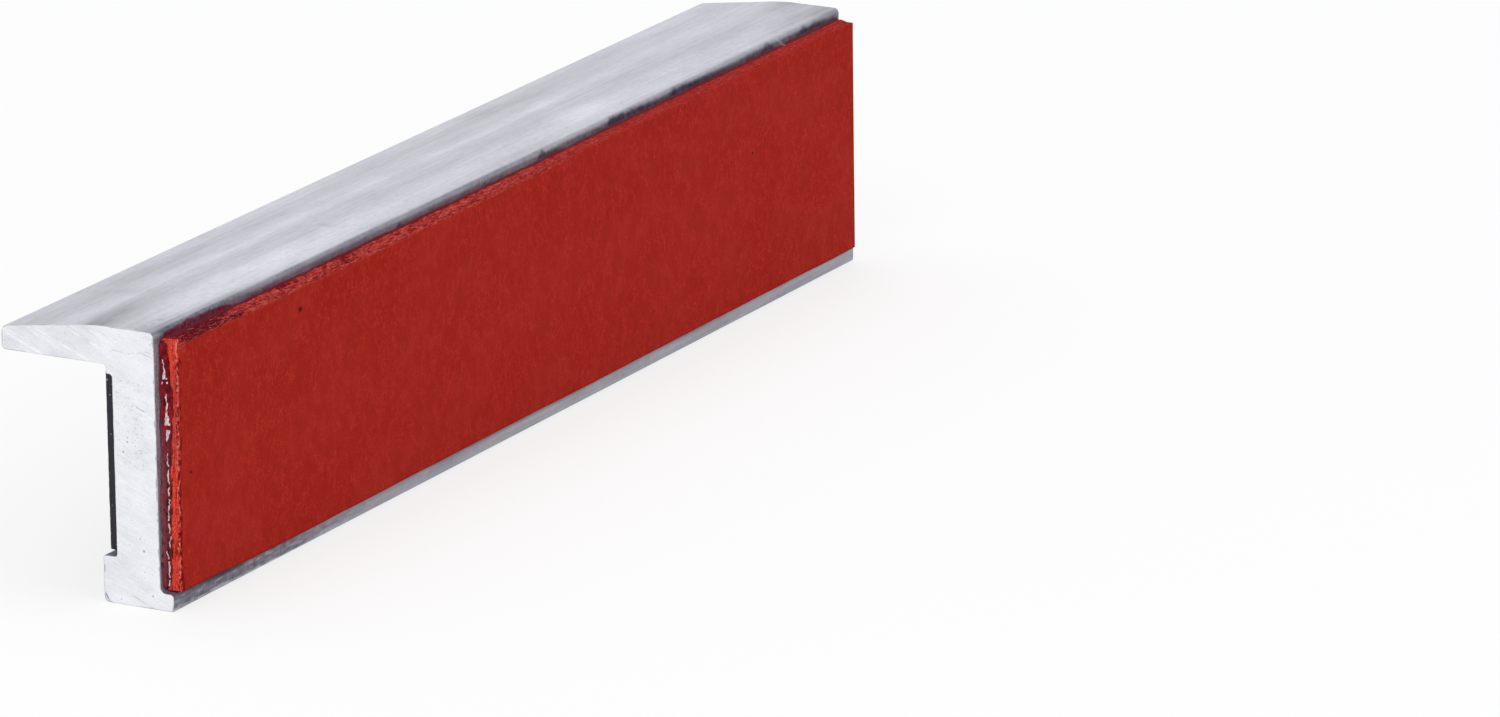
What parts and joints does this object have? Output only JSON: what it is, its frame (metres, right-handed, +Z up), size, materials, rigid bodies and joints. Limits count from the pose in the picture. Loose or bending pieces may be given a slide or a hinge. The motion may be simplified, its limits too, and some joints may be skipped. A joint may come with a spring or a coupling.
{
  "type": "vise jaw",
  "caption": "Magnetic clip-on soft jaw for a bench vise: an L-shaped aluminium extrusion with a red vulcanised fibre gripping face in front and a black magnet strip behind.",
  "frame": {"origin": "mid length, on the base, in the plane of the front wall that carries the fibre", "axes": "+X along the jaw, +Y from the gripping face back to the vise's own jaw, +Z up out of the vise"},
  "size_m": [0.125, 0.0176, 0.0253],
  "materials": {
    "extrusion": "mill finish, lengthwise die lines, sawn ends",
    "fibre": "red vulcanised fibre, matte with fine fibrous speckle",
    "facing_glue": "cured contact glue stained by the fibre, glossy",
    "magnet": "flexible ferrite magnet strip, satin black",
    "magnet_glue": "thin adhesive film"
  },
  "bodies": {
    "root": {"jaw_body": "extrusion", "fibre_facing": "fibre", "facing_glue": "facing_glue", "magnet_strip": "magnet", "magnet_glue": "magnet_glue"}
  },
  "joints": []
}
